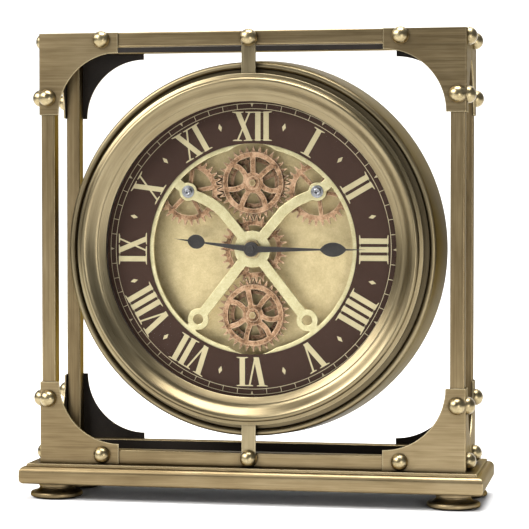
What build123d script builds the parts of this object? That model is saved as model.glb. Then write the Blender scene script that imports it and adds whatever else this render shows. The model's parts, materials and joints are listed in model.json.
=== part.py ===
from build123d import *
import os
from math import acos, atan2, cos, degrees, hypot, pi, radians, sin, sqrt, tan

# Table clock: an open frame of square tube on a moulded plinth carries a round case between two straps.
# Behind the glass a skeleton plate and a train of wheels turn inside a ring of numerals.
# Millimetres. X runs right, Y back and Z up. The origin is on the table, under the plinth's middle.

# Frame of square tube
frame_height = 304.0
frame_depth = 73.0
bar_size = 10.0
bar_wall = 1.0
bar_edge_radius = 0.8

# Plinth and feet
plinth_side_reach = 14.0
plinth_front_reach = 12.5
plinth_height = 14.5
plinth_wall = 2.6
plinth_roof = 3.0
lip_height = 1.8
lip_inset = 4.8
moulding_top_radius = 4.4
moulding_bottom_radius = 3.4
bottom_plate_thickness = 1.5
bottom_plate_clearance = 0.2
foot_height = 10.0
foot_radius = 18.5
foot_neck_radius = 11.7
foot_rim_height = 3.5
foot_neck_height = 2.0
flare_slant_share = 0.22
foot_from_side = 22.0
foot_from_front = 21.0
pad_radius = 15.0
pad_thickness = 1.0

# Folded corner brackets and dome bolts
sheet = 1.2
bracket_leg = 57.5
bracket_end = 14.2
bracket_wing_depth = 35.5
bracket_fold_radius = 0.9
dome_radius = 6.1
dome_sides = 8
neck_size = 4.0
neck_grip = 1.2
neck_clearance = 0.1
bolt_run = 45.5
rail_bolt_depth = 14.0
bolt_lift = 0.2

# Dome outline: level and radius of each ring of corners, as shares of the dome's radius
dome_shares = ((0, 1.0), (0.58, 0.84), (1.0, 0.28))

# Straps between the frame and the case, and the room that the frame leaves round the case
strap_reach = 32.4
case_side_room = 16.0
strap_width = 10.0
strap_thickness = 2.0
strap_clearance = 0.2

# Case drum
case_wall = 1.2
bead_spread = 8.4
bead_radius = 2.6
bead_setback = 3.0
bead_steps = 4
drum_flare = 14.4
drum_rear_room = 2.7
drum_flange = 8.0
dial_seat = 9.6

# Bezel, glass and spacer ring
lip_thickness = 1.3
inner_band = 5.3
inner_band_rise = 1.2
band_step = 1.1
cove_width = 7.0
cove_rise = 5.8
cove_sag = 1.1
crown_width = 4.2
crown_rise = 1.2
crown_drop = 2.0
crown_round_share = 0.20
crown_inset = 0.1
rim_width = 2.8
rim_step = 1.4
rim_slope = 1.0
bezel_wall = 1.4
skirt_clearance = 0.15
glass_thickness = 2.0
glass_clearance = 0.2
glass_hold = 3.6
spacer_wall = 2.0

# Dial ring, skeleton plate and back plate
dial_setback = 10.9
dial_thickness = 1.0
dial_inner_radius = 74.0
dial_clearance = 0.6
skeleton_thickness = 1.5
skeleton_ring_width = 3.0
skeleton_overlap = 6.0
skeleton_hub_radius = 13.0
arm_width = 7.2
arm_boss_radius = 6.4
arm_bend_share = 0.84
arm_low_share = 0.46
eyelet_radius = 7.5
eyelet_hole_radius = 3.6
eyelet_x = 39.0
eyelet_drop = 49.6
plate_gap = 12.4
back_plate_thickness = 1.0
plate_clearance = 2.6
pillar_radius = 2.5
pillar_angles = (65, 115, 225, 315)

# Wheels of the train
tooth_module = 1.5
pressure_angle = 20.0
tooth_slack = 0.3
great_teeth = 32
great_addendum = 1.9
idler_teeth = 30
idler_addendum = 1.5
root_clearance = 0.35
small_module = 1.0
small_addendum = 0.8
rear_teeth = 36
pinion_teeth = 14
side_wheel_drop = 6.2
tooth_width = 2.0
rim_height = 1.5
great_rim_outer = 21.7
great_rim_inner = 18.2
great_hub_radius = 7.4
great_spoke_width = 3.6
idler_rim_inner = 16.8
idler_spoke_width = 3.0
idler_spoke_count = 5
rear_rim_inner = 14.6
rear_spoke_width = 3.0
rear_spoke_count = 4
spoke_root = 1.0
sleeve_radius = 4.8
boss_height = 0.6
wheel_gap = 0.3
layer_gap = 1.9
stud_radius = 1.5
running_clearance = 0.05
gear_notch_clearance = 2.2
nut_radius = 2.6
nut_height = 1.2
nut_sides = 6
arm_screw_radius = 2.7
arm_screw_height = 1.6
arm_washer_radius = 4.4
arm_washer_height = 0.6
pinion_overhang = 0.9
pinion_hole_clearance = 1.5
pinion_depth = 5.0

# Great wheels: one entry per spoke, the sideways bow of each as a share of its length
great_spoke_bow_shares = (0.0, -0.16, 0.10, -0.06, 0.14, -0.18, 0.06)

# Hands, pointing at a quarter past nine
minute_length = 82.0
hour_length = 56.0
hand_thickness = 1.0
hand_gap = 0.7
hand_root = 2.4
hand_waist = 1.3
hand_spade = 5.0
hand_hub_radius = 5.2
hand_lift = 1.3
minute_angle = 0.0
hour_angle = 172.5
spade_start_share = 0.60
spade_middle_share = 0.70
spade_end_share = 0.82
arbor_radius = 1.45
arbor_cap_radius = 2.6
arbor_cap_height = 1.4
hour_tube_radius = 2.5
bush_radius = 4.0
bush_nut_radius = 7.0
bush_nut_height = 2.0
hour_tube_length = 14.0
arbor_length = 20.0

# Movement, gear motor, battery box and rear cover
movement_size = 56.0
movement_depth = 16.0
movement_edge_radius = 3.0
cell_radius = 7.1
cell_length = 50.0
cell_clearance = 0.3
cell_nipple_radius = 2.7
cell_nipple_length = 1.0
bay_floor = 1.0
bay_from_edge = 2.0
knob_radius = 8.0
knob_height = 6.0
knob_sides = 16
knob_stem_length = 6.0
knob_offset = 14.0
motor_width = 34.0
motor_height = 24.0
motor_edge_radius = 2.0
box_width = 58.0
box_height = 30.0
box_drop = 55.0
cover_thickness = 1.2
cover_inset = 2.5
cover_window_margin = 1.5
cover_screw_count = 6
cover_screw_radius = 3.2
cover_screw_height = 1.6
overrun = 1.0

# Radii of the case, which fills the frame's height, and the sizes of the frame and plinth round it
neck_radius = frame_height / 2 - strap_reach
bead_middle_radius = neck_radius + bead_spread
drum_rear_radius = neck_radius + drum_flare
lip_radius = neck_radius - crown_inset - crown_width - cove_width - inner_band
glass_radius = lip_radius + glass_hold
frame_width = 2 * (drum_rear_radius + case_side_room)
plinth_width = frame_width + 2 * plinth_side_reach
plinth_depth = frame_depth + 2 * plinth_front_reach

# Levels up the clock and steps through its depth, from the front backwards
frame_bottom = pad_thickness + foot_height + plinth_height
frame_top = frame_bottom + frame_height
centre_z = (frame_bottom + frame_top) / 2
half_width = frame_width / 2
half_depth = frame_depth / 2
bars_front = -half_depth
strap_front = bars_front - strap_thickness
bezel_back = strap_front - strap_clearance
dial_front = bars_front + dial_setback
dial_back = dial_front + dial_thickness
skeleton_back = dial_back + skeleton_thickness
plate_front = skeleton_back + plate_gap
plate_back = plate_front + back_plate_thickness
module_back = plate_back + movement_depth
drum_rear = module_back + drum_rear_room
sleeve_front = skeleton_back + wheel_gap
wheel_front = sleeve_front + boss_height
teeth_front = wheel_front + rim_height
teeth_back = teeth_front + tooth_width
rear_teeth_front = teeth_back + layer_gap
rear_teeth_back = rear_teeth_front + tooth_width
sleeve_back = plate_front - wheel_gap
lip_back = dial_front - dial_seat
glass_back = lip_back + glass_thickness

# Places of the wheels, measured from the dial's axis
wheel_distance = tooth_module * (great_teeth + idler_teeth) / 2
side_x = sqrt(wheel_distance**2 - side_wheel_drop**2)
upper_place = (0, wheel_distance)
lower_place = (0, -wheel_distance)
left_place = (-side_x, wheel_distance - side_wheel_drop)
right_place = (side_x, wheel_distance - side_wheel_drop)
pinion_distance = small_module * (rear_teeth + pinion_teeth) / 2
pinion_place = (
    -pinion_distance * side_x / wheel_distance,
    wheel_distance - pinion_distance * side_wheel_drop / wheel_distance,
)

os.makedirs("parts", exist_ok=True)


def finish(builder, label):
    """Label a finished piece and write it."""
    builder.part.label = label
    export_step(builder.part, f"parts/{label}.step")


def facing(y, place=(0, 0), turn=0.0):
    """Plane parallel to the dial at depth y, its x turned from the right, its normal to the front."""
    angle = radians(turn)
    origin = (place[0], y, centre_z + place[1])
    return Plane(origin=origin, x_dir=(cos(angle), 0, sin(angle)), z_dir=(0, -1, 0))


def polar(radius, angle):
    """Point at an angle in radians."""
    return (radius * cos(angle), radius * sin(angle))


# The plane for profiles turned about the dial's axis, as radius and depth
turning_plane = Plane.XY.offset(centre_z)
dial_axis = Axis((0, 0, centre_z), (0, 1, 0))

# Dome bolt, standing on its seat with a square neck below
neck_length = sheet + bar_wall + neck_grip
with BuildPart() as dome_bolt:
    for level_share, radius_share in dome_shares:
        with BuildSketch(Plane.XY.offset(dome_radius * level_share)):
            RegularPolygon(dome_radius * radius_share, dome_sides)
    loft(ruled=True)
    with BuildSketch():
        Rectangle(neck_size, neck_size)
    extrude(amount=-neck_length)

# Where the bolts stand: on the face and the side of each corner bracket
sides = {"left": -1, "right": 1}
faces = {"front": -1, "rear": 1}
ends = {"bottom": -1, "top": 1}
bolt_hole = neck_size + 2 * neck_clearance
bolt_levels = {
    "bottom": frame_bottom + dome_radius + bolt_lift,
    "top": frame_top - bar_size / 2,
}
bolt_on_bar = {}
bolt_on_post = {}
bolt_on_post_side = {}
bolt_on_rail = {}
for side, s in sides.items():
    for face, f in faces.items():
        for end, e in ends.items():
            corner = (side, face, end)
            end_z = centre_z + e * frame_height / 2
            bar_z = bolt_levels[end]
            run_z = end_z - e * bolt_run
            face_y = f * (half_depth + sheet)
            side_x_face = s * (half_width + sheet)
            bar_x = side_x_face - s * bolt_run
            post_x = s * (half_width - bar_size / 2)
            post_y = f * (half_depth - bar_size / 2)
            rail_y = face_y - f * rail_bolt_depth
            bolt_on_bar[corner] = Plane(origin=(bar_x, face_y, bar_z), z_dir=(0, f, 0))
            bolt_on_post[corner] = Plane(origin=(post_x, face_y, run_z), z_dir=(0, f, 0))
            bolt_on_post_side[corner] = Plane(origin=(side_x_face, post_y, run_z), z_dir=(s, 0, 0))
            bolt_on_rail[corner] = Plane(origin=(side_x_face, rail_y, bar_z), z_dir=(s, 0, 0))
strap_bolts = {
    end: Plane(origin=(0, strap_front, level), z_dir=(0, -1, 0)) for end, level in bolt_levels.items()
}
bolt_groups = (bolt_on_bar, bolt_on_post, bolt_on_post_side, bolt_on_rail, strap_bolts)

with BuildPart() as dome_bolts:
    with Locations(*[place for group in bolt_groups for place in group.values()]):
        add(dome_bolt.part)
finish(dome_bolts, "dome_bolts")


def square_tube(plane, length, bolts, capped=False):
    """Square tube along a plane's normal, with a square hole at each bolt and one end closed if capped."""
    bore = bar_size - 2 * bar_wall
    bore_length = length - bar_wall if capped else length
    with BuildPart() as tube:
        with BuildSketch(plane):
            RectangleRounded(bar_size, bar_size, bar_edge_radius)
        extrude(amount=length)
        with BuildSketch(plane):
            Rectangle(bore, bore)
        extrude(amount=bore_length, mode=Mode.SUBTRACT)
        with Locations(*bolts):
            Box(bolt_hole, bolt_hole, 2 * neck_length, mode=Mode.SUBTRACT)
    return tube


# Posts from the plinth to the top of the frame, closed at the top
for side, s in sides.items():
    for face, f in faces.items():
        foot_point = (s * (half_width - bar_size / 2), f * (half_depth - bar_size / 2), frame_bottom)
        post_bolts = [
            group[side, face, end] for group in (bolt_on_post, bolt_on_post_side) for end in ends
        ]
        post = square_tube(Plane(origin=foot_point), frame_height, post_bolts, capped=True)
        finish(post, f"{face}_{side}_post")

# Top and bottom bars between the posts
bar_length = frame_width - 2 * bar_size
for face, f in faces.items():
    for end, e in ends.items():
        bar_y = f * (half_depth - bar_size / 2)
        bar_z = centre_z + e * (frame_height - bar_size) / 2
        start = Plane(origin=(-bar_length / 2, bar_y, bar_z), z_dir=(1, 0, 0))
        bar_bolts = [bolt_on_bar[side, face, end] for side in sides]
        if face == "front":
            bar_bolts.append(strap_bolts[end])
        bar = square_tube(start, bar_length, bar_bolts)
        finish(bar, f"{face}_{end}_bar")

# Side rails between the front and rear posts
rail_length = frame_depth - 2 * bar_size
for side, s in sides.items():
    for end, e in ends.items():
        rail_x = s * (half_width - bar_size / 2)
        rail_z = centre_z + e * (frame_height - bar_size) / 2
        start = Plane(origin=(rail_x, -rail_length / 2, rail_z), z_dir=(0, 1, 0))
        rail = square_tube(start, rail_length, [bolt_on_rail[side, face, end] for face in faces])
        finish(rail, f"{side}_{end}_rail")


def wing_face(plane, reach):
    """Bracket wing with a concave quarter round between its legs, cut off at a reach along x."""
    round_radius = bracket_leg - bracket_end
    reach_height = bracket_leg - sqrt(round_radius**2 - (bracket_leg - reach) ** 2)
    start_angle = atan2(reach_height - bracket_leg, reach - bracket_leg)
    middle_angle = (start_angle - pi) / 2
    middle = (
        bracket_leg + round_radius * cos(middle_angle),
        bracket_leg + round_radius * sin(middle_angle),
    )
    with BuildSketch(plane) as wing:
        with BuildLine():
            Polyline(
                (bracket_end, bracket_leg), (0, bracket_leg), (0, 0), (reach, 0), (reach, reach_height)
            )
            ThreePointArc((reach, reach_height), middle, (bracket_end, bracket_leg))
        make_face()
    return wing.sketch


# Corner brackets: a face wing and a side wing folded from one sheet
for (side, face, end), bar_bolt in bolt_on_bar.items():
    s, f, e = sides[side], faces[face], ends[end]
    corner_point = (s * (half_width + sheet), f * (half_depth + sheet), centre_z + e * frame_height / 2)
    face_plane = Plane(origin=corner_point, x_dir=(-s, 0, 0), z_dir=(0, -s * e, 0))
    side_plane = Plane(origin=corner_point, x_dir=(0, -f, 0), z_dir=(f * e, 0, 0))
    bracket_bolts = [
        bar_bolt,
        bolt_on_post[side, face, end],
        bolt_on_post_side[side, face, end],
        bolt_on_rail[side, face, end],
    ]
    with BuildPart() as bracket:
        extrude(wing_face(face_plane, bracket_leg), amount=sheet, dir=(0, -f, 0))
        extrude(wing_face(side_plane, bracket_wing_depth), amount=sheet, dir=(-s, 0, 0))
        fold = bracket.edges().filter_by(Axis.Z).sort_by_distance(corner_point)[0]
        fillet(fold, bracket_fold_radius)
        with Locations(*bracket_bolts):
            Box(bolt_hole, bolt_hole, 2 * neck_length, mode=Mode.SUBTRACT)
    finish(bracket, f"{face}_{end}_{side}_bracket")

# Plinth: a rounded moulding below a lip, hollow from below, closed by a bottom plate
plinth_bottom = pad_thickness + foot_height
moulding_top = frame_bottom - lip_height
pocket_width = plinth_width - 2 * (moulding_bottom_radius + plinth_wall)
pocket_depth = plinth_depth - 2 * (moulding_bottom_radius + plinth_wall)
foot_x = plinth_width / 2 - foot_from_side
foot_y = plinth_depth / 2 - foot_from_front
foot_places = [(s * foot_x, f * foot_y) for s in sides.values() for f in faces.values()]
with BuildPart() as base_plinth:
    with BuildSketch(Plane.XY.offset(plinth_bottom)):
        Rectangle(plinth_width, plinth_depth)
    extrude(amount=moulding_top - plinth_bottom)
    fillet(base_plinth.faces().sort_by(Axis.Z)[-1].edges(), moulding_top_radius)
    fillet(base_plinth.faces().sort_by(Axis.Z)[0].edges(), moulding_bottom_radius)
    with BuildSketch(Plane.XY.offset(moulding_top)):
        Rectangle(plinth_width - 2 * lip_inset, plinth_depth - 2 * lip_inset)
    extrude(amount=lip_height)
    with BuildSketch(Plane.XY.offset(plinth_bottom)):
        Rectangle(pocket_width, pocket_depth)
    extrude(amount=plinth_height - plinth_roof, mode=Mode.SUBTRACT)
finish(base_plinth, "base_plinth")

with BuildPart() as base_bottom_plate:
    with BuildSketch(Plane.XY.offset(plinth_bottom)):
        Rectangle(pocket_width - 2 * bottom_plate_clearance, pocket_depth - 2 * bottom_plate_clearance)
    extrude(amount=bottom_plate_thickness)
finish(base_bottom_plate, "base_bottom_plate")

# Turned feet: a rim on the table, a hollow flare and a neck
flare_bottom = pad_thickness + foot_rim_height
flare_top = plinth_bottom - foot_neck_height
flare_middle = (
    foot_neck_radius + (foot_radius - foot_neck_radius) * flare_slant_share,
    flare_bottom + (flare_top - flare_bottom) * flare_slant_share,
)
with BuildPart() as foot:
    with BuildSketch(Plane.XZ):
        with BuildLine():
            Polyline(
                (0, pad_thickness),
                (foot_radius, pad_thickness),
                (foot_radius, flare_bottom),
                flare_middle,
                (foot_neck_radius, flare_top),
                (foot_neck_radius, plinth_bottom),
                (0, plinth_bottom),
                close=True,
            )
        make_face()
    revolve(axis=Axis.Z)
with BuildPart() as feet:
    with Locations(*foot_places):
        add(foot.part)
finish(feet, "feet")

with BuildPart() as foot_pads:
    with BuildSketch():
        with Locations(*foot_places):
            Circle(pad_radius)
    extrude(amount=pad_thickness)
finish(foot_pads, "foot_pads")

# Straps: flat bars with a round outer end, bolted to the frame and meeting the neck of the case
for end, e in ends.items():
    bolt_offset = bolt_levels[end] - centre_z
    with BuildPart() as strap:
        with BuildSketch(facing(bars_front)):
            with BuildLine():
                Polyline(
                    (-strap_width / 2, bolt_offset),
                    (-strap_width / 2, e * neck_radius),
                    (strap_width / 2, e * neck_radius),
                    (strap_width / 2, bolt_offset),
                )
                ThreePointArc(
                    (strap_width / 2, bolt_offset),
                    (0, bolt_offset + e * strap_width / 2),
                    (-strap_width / 2, bolt_offset),
                )
            make_face()
        extrude(amount=strap_thickness)
        with Locations(strap_bolts[end]):
            Box(bolt_hole, bolt_hole, 2 * neck_length, mode=Mode.SUBTRACT)
    finish(strap, f"{end}_strap")

# Bezel levels: the lip inside, a cove up to a rolled crown, a step down to a thin rim
lip_front = lip_back - lip_thickness
band_radius = lip_radius + inner_band
band_front = lip_front - inner_band_rise
cove_front = band_front - band_step
crown_start = (band_radius + cove_width, cove_front - cove_rise)
crown_middle = (band_radius + cove_width + crown_width / 2, cove_front - cove_rise - crown_rise)
crown_end = (band_radius + cove_width + crown_width, cove_front - cove_rise + crown_drop)
crown_shoulder = (
    crown_end[0] - crown_width * crown_round_share,
    crown_middle[1] + crown_rise * crown_round_share,
)
cove_middle = (band_radius + cove_width / 2 + cove_sag, cove_front - cove_rise / 2 + cove_sag)
rim_inner = crown_end[0]
rim_radius = rim_inner + rim_width
rim_front = crown_end[1] + rim_step
skirt_radius = neck_radius + skirt_clearance
neck_inner = neck_radius - case_wall
shoulder_front = rim_front + bezel_wall
rebate_radius = glass_radius + glass_clearance
rebate_outer = rebate_radius + bezel_wall

with BuildPart() as bezel:
    with BuildSketch(turning_plane):
        with BuildLine():
            Polyline(
                (lip_radius, lip_back),
                (lip_radius, lip_front),
                (band_radius, band_front),
                (band_radius, cove_front),
                cove_middle,
                crown_start,
                crown_middle,
                crown_shoulder,
                crown_end,
                (rim_inner, rim_front),
                (rim_radius, rim_front + rim_slope),
                (rim_radius, bezel_back),
                (skirt_radius, bezel_back),
                (skirt_radius, shoulder_front),
                (neck_inner, shoulder_front),
                (crown_start[0] + bezel_wall, crown_start[1] + 2 * bezel_wall),
                (rebate_outer + bezel_wall, cove_front + bezel_wall),
                (rebate_outer, glass_back),
                (rebate_radius, glass_back),
                (rebate_radius, lip_back),
                close=True,
            )
        make_face()
    revolve(axis=dial_axis)
finish(bezel, "bezel")

# Case drum: a neck for the bezel with a seat for the dial, a round bead and a flared wall
bead_level = bars_front + bead_setback + bead_radius
annulus_back = bead_level + case_wall
bead_outer = bead_middle_radius + bead_radius
bead_angles = [pi - pi * step / bead_steps for step in range(bead_steps + 1)]
bead_points = [
    (bead_middle_radius + bead_radius * cos(angle), bead_level - bead_radius * sin(angle))
    for angle in bead_angles
]
seat_back = dial_back + case_wall
seat_inner = glass_radius + spacer_wall
flange_inner = drum_rear_radius - drum_flange
with BuildPart() as case_drum:
    with BuildSketch(turning_plane):
        with BuildLine():
            Polyline(
                (neck_radius, shoulder_front),
                (neck_radius, bead_level),
                *bead_points,
                (drum_rear_radius, drum_rear),
                (flange_inner, drum_rear),
                (flange_inner, drum_rear - case_wall),
                (drum_rear_radius - case_wall, drum_rear - case_wall),
                (bead_outer - case_wall, annulus_back),
                (neck_radius, annulus_back),
                (neck_radius, seat_back),
                (seat_inner, seat_back),
                (seat_inner, dial_back),
                (neck_inner, dial_back),
                (neck_inner, shoulder_front),
                close=True,
            )
        make_face()
    revolve(axis=dial_axis)
finish(case_drum, "case_drum")

with BuildPart() as glass:
    with BuildSketch(facing(glass_back)):
        Circle(glass_radius)
    extrude(amount=glass_thickness)
finish(glass, "glass")

with BuildPart() as spacer_ring:
    with BuildSketch(facing(dial_front)):
        Circle(glass_radius)
        Circle(glass_radius - spacer_wall, mode=Mode.SUBTRACT)
    extrude(amount=dial_front - glass_back)
finish(spacer_ring, "spacer_ring")

with BuildPart() as dial_ring:
    with BuildSketch(facing(dial_back)):
        Circle(neck_inner - dial_clearance)
        Circle(dial_inner_radius, mode=Mode.SUBTRACT)
    extrude(amount=dial_thickness)
finish(dial_ring, "dial_ring")

# Skeleton plate: a ring notched for the great wheels, two curved upper arms and two lower arms with eyelets
ring_inner = dial_inner_radius - skeleton_ring_width
ring_outer = dial_inner_radius + skeleton_overlap
notch_radius = tooth_module * great_teeth / 2 + great_addendum + gear_notch_clearance
ring_middle = (ring_inner + ring_outer) / 2
eyelet_reach = hypot(eyelet_x, eyelet_drop)
with BuildPart() as skeleton_plate:
    with BuildSketch(facing(skeleton_back)):
        Circle(ring_outer)
        Circle(ring_inner, mode=Mode.SUBTRACT)
        with Locations(upper_place, lower_place):
            Circle(notch_radius, mode=Mode.SUBTRACT)
        Circle(skeleton_hub_radius)
        for s in sides.values():
            stud = (s * side_x, left_place[1])
            reach = ring_middle / hypot(*stud)
            bend = (stud[0] * arm_bend_share, stud[1] - arm_width / 2)
            low = (stud[0] * arm_low_share, stud[1] * arm_low_share + arm_width)
            with BuildLine():
                upper_arc = ThreePointArc((stud[0] * reach, stud[1] * reach), stud, bend)
                TangentArc(bend, low, tangent=upper_arc % 1)
                Line(low, (0, 0))
            trace(line_width=arm_width)
            with Locations(stud):
                Circle(arm_boss_radius)
            eyelet = (s * eyelet_x, -eyelet_drop)
            with BuildLine():
                Line((0, 0), (eyelet[0] * ring_middle / eyelet_reach, eyelet[1] * ring_middle / eyelet_reach))
            trace(line_width=arm_width)
            with Locations(eyelet):
                Circle(eyelet_radius)
                Circle(eyelet_hole_radius, mode=Mode.SUBTRACT)
        Circle(bush_radius + running_clearance, mode=Mode.SUBTRACT)
    extrude(amount=skeleton_thickness)
finish(skeleton_plate, "skeleton_plate")

# Back plate, pierced for the bush and the motor's shaft, on pillars behind the skeleton plate's ring
back_plate_radius = seat_inner - plate_clearance
with BuildPart() as back_plate:
    with BuildSketch(facing(plate_back)):
        Circle(back_plate_radius)
        Circle(bush_radius + running_clearance, mode=Mode.SUBTRACT)
        with Locations(pinion_place):
            Circle(stud_radius + pinion_hole_clearance, mode=Mode.SUBTRACT)
    extrude(amount=back_plate_thickness)
finish(back_plate, "back_plate")

with BuildPart() as dial_pillars:
    with BuildSketch(facing(plate_front)):
        with Locations(*[polar(ring_middle, radians(angle)) for angle in pillar_angles]):
            Circle(pillar_radius)
    extrude(amount=plate_gap)
finish(dial_pillars, "dial_pillars")

# Studs that the wheels turn on: the side ones end in the arms, the others in a nut
nut_back = sleeve_front - wheel_gap
with BuildPart() as gear_studs:
    with BuildSketch(facing(plate_front)):
        with Locations(upper_place, lower_place, left_place, right_place):
            Circle(stud_radius)
    extrude(amount=plate_front - nut_back)
finish(gear_studs, "gear_studs")

with BuildPart() as stud_nuts:
    with BuildSketch(facing(nut_back)):
        with Locations(upper_place, lower_place):
            RegularPolygon(nut_radius, nut_sides)
    extrude(amount=nut_height)
finish(stud_nuts, "stud_nuts")

with BuildPart() as arm_screws:
    with BuildSketch(facing(dial_back)):
        with Locations(left_place, right_place):
            Circle(arm_washer_radius)
    extrude(amount=arm_washer_height)
    with BuildSketch(facing(dial_back - arm_washer_height)):
        with Locations(left_place, right_place):
            Circle(arm_screw_radius)
    extrude(amount=arm_screw_height)
finish(arm_screws, "arm_screws")


def toothed_face(plane, teeth, module, addendum, dedendum, turn):
    """Face of a spur wheel, its flanks chords of involutes, its first tooth at a turn in degrees."""
    pitch_radius = module * teeth / 2
    base_radius = pitch_radius * cos(radians(pressure_angle))
    tip_radius = pitch_radius + addendum
    root_radius = pitch_radius - dedendum
    flank_start = max(root_radius, base_radius)
    half_tooth = (pi * module / 2 - tooth_slack) / (2 * pitch_radius)

    def involute(radius):
        angle = acos(base_radius / radius)
        return tan(angle) - angle

    def half_angle(radius):
        return half_tooth + involute(pitch_radius) - involute(radius)

    root_angle, tip_angle = half_angle(flank_start), half_angle(tip_radius)
    step = 2 * pi / teeth
    outline = []
    for number in range(teeth):
        middle = radians(turn) + number * step
        outline.append(polar(root_radius, middle - root_angle))
        outline.append(polar(tip_radius, middle - tip_angle))
        outline.append(polar(tip_radius, middle + tip_angle))
        outline.append(polar(root_radius, middle + root_angle))
    with BuildSketch(plane) as wheel:
        with BuildLine():
            Polyline(*outline, close=True)
        make_face()
    return wheel.sketch


def mesh_turn(turn, teeth, other_teeth, direction):
    """Turn of a wheel that meshes with another, which lies at a direction from the first, in degrees."""
    phase = (direction - turn) * teeth / 360
    return direction + 180 - (1 / 2 - phase) * 360 / other_teeth


def bearing(start, stop):
    """Direction from one place to another, in degrees."""
    return degrees(atan2(stop[1] - start[1], stop[0] - start[0]))


great_dedendum = idler_addendum + root_clearance
idler_dedendum = great_addendum + root_clearance
small_dedendum = small_addendum + root_clearance
upper_angle = 90.0
centre_angle = mesh_turn(upper_angle, great_teeth, idler_teeth, bearing(upper_place, (0, 0)))
lower_angle = mesh_turn(centre_angle, idler_teeth, great_teeth, bearing((0, 0), lower_place))
left_angle = mesh_turn(upper_angle, great_teeth, idler_teeth, bearing(upper_place, left_place))
right_angle = mesh_turn(upper_angle, great_teeth, idler_teeth, bearing(upper_place, right_place))
pinion_angle = mesh_turn(upper_angle, rear_teeth, pinion_teeth, bearing(upper_place, pinion_place))


def great_wheel(label, place, turn):
    """Great wheel with bowed spokes and a raised rim, and a smaller wheel behind it on one sleeve."""
    spoke_count = len(great_spoke_bow_shares)
    spoke_start = (great_hub_radius + sleeve_radius) / 2
    spoke_end = (great_rim_inner + great_rim_outer) / 2
    spoke_middle = (spoke_start + spoke_end) / 2
    wheel_plane = facing(teeth_back, place)
    rear_plane = facing(rear_teeth_back, place)
    bore = stud_radius + running_clearance
    with BuildPart() as wheel:
        teeth = toothed_face(wheel_plane, great_teeth, tooth_module, great_addendum, great_dedendum, turn)
        extrude(teeth, amount=tooth_width)
        with BuildSketch(wheel_plane):
            RegularPolygon(great_rim_inner, great_teeth)
        extrude(amount=tooth_width, mode=Mode.SUBTRACT)
        with BuildSketch(wheel_plane):
            RegularPolygon(great_rim_outer, great_teeth)
            RegularPolygon(great_rim_inner, great_teeth, mode=Mode.SUBTRACT)
            Circle(great_hub_radius)
            for number, bow_share in enumerate(great_spoke_bow_shares):
                angle = radians(turn) + number * 2 * pi / spoke_count
                bow = bow_share * (spoke_end - spoke_start)
                along, across = polar(1, angle), polar(bow, angle + pi / 2)
                middle = (spoke_middle * along[0] + across[0], spoke_middle * along[1] + across[1])
                with BuildLine():
                    if bow:
                        ThreePointArc(polar(spoke_start, angle), middle, polar(spoke_end, angle))
                    else:
                        Line(polar(spoke_start, angle), polar(spoke_end, angle))
                trace(line_width=great_spoke_width)
        extrude(amount=tooth_width + rim_height)
        rear = toothed_face(rear_plane, rear_teeth, small_module, small_addendum, small_dedendum, upper_angle)
        extrude(rear, amount=tooth_width)
        with BuildSketch(rear_plane):
            RegularPolygon(rear_rim_inner, rear_teeth)
        extrude(amount=tooth_width, mode=Mode.SUBTRACT)
        with BuildSketch(rear_plane):
            with PolarLocations(0, rear_spoke_count, start_angle=90 / rear_spoke_count):
                Rectangle(rear_rim_inner + spoke_root, rear_spoke_width, align=(Align.MIN, Align.CENTER))
        extrude(amount=tooth_width)
        with BuildSketch(facing(sleeve_back, place)):
            Circle(sleeve_radius)
        extrude(amount=sleeve_back - sleeve_front)
        with BuildSketch(facing(sleeve_back, place)):
            Circle(bore)
        extrude(amount=sleeve_back - sleeve_front, mode=Mode.SUBTRACT)
    finish(wheel, label)


def idler_wheel(label, place, turn, axle_radius, hub_radius):
    """Flat wheel with straight spokes on a sleeve that runs on its axle."""
    wheel_plane = facing(teeth_back, place)
    bore = axle_radius + running_clearance
    with BuildPart() as wheel:
        teeth = toothed_face(wheel_plane, idler_teeth, tooth_module, idler_addendum, idler_dedendum, turn)
        extrude(teeth, amount=tooth_width)
        with BuildSketch(wheel_plane):
            RegularPolygon(idler_rim_inner, idler_teeth)
            with PolarLocations(0, idler_spoke_count, start_angle=turn):
                Rectangle(
                    idler_rim_inner + spoke_root,
                    idler_spoke_width,
                    align=(Align.MIN, Align.CENTER),
                    mode=Mode.SUBTRACT,
                )
        extrude(amount=tooth_width, mode=Mode.SUBTRACT)
        with BuildSketch(facing(sleeve_back, place)):
            Circle(hub_radius)
        extrude(amount=sleeve_back - sleeve_front)
        with BuildSketch(facing(sleeve_back, place)):
            Circle(bore)
        extrude(amount=sleeve_back - sleeve_front, mode=Mode.SUBTRACT)
    finish(wheel, label)


great_wheel("upper_gear", upper_place, upper_angle)
great_wheel("lower_gear", lower_place, lower_angle)
idler_wheel("left_gear", left_place, left_angle, stud_radius, sleeve_radius)
idler_wheel("right_gear", right_place, right_angle, stud_radius, sleeve_radius)
idler_wheel("centre_wheel", (0, 0), centre_angle, bush_radius, great_hub_radius)

# Pinion of the gear motor, in mesh with the smaller wheel behind the upper gear
pinion_front = rear_teeth_front - pinion_overhang
pinion_back = rear_teeth_back + pinion_overhang
with BuildPart() as motor_pinion:
    pinion_plane = facing(pinion_back, pinion_place)
    teeth = toothed_face(
        pinion_plane, pinion_teeth, small_module, small_addendum, small_dedendum, pinion_angle
    )
    extrude(teeth, amount=pinion_back - pinion_front)
    with BuildSketch(facing(plate_back + pinion_depth, pinion_place)):
        Circle(stud_radius)
    extrude(amount=plate_back + pinion_depth - pinion_back)
finish(motor_pinion, "motor_pinion")

# Hands: a tapered blade with a spade before the tip
hour_back = dial_back - bush_nut_height - hand_lift
hour_front = hour_back - hand_thickness
minute_back = hour_front - hand_gap
minute_front = minute_back - hand_thickness


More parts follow.
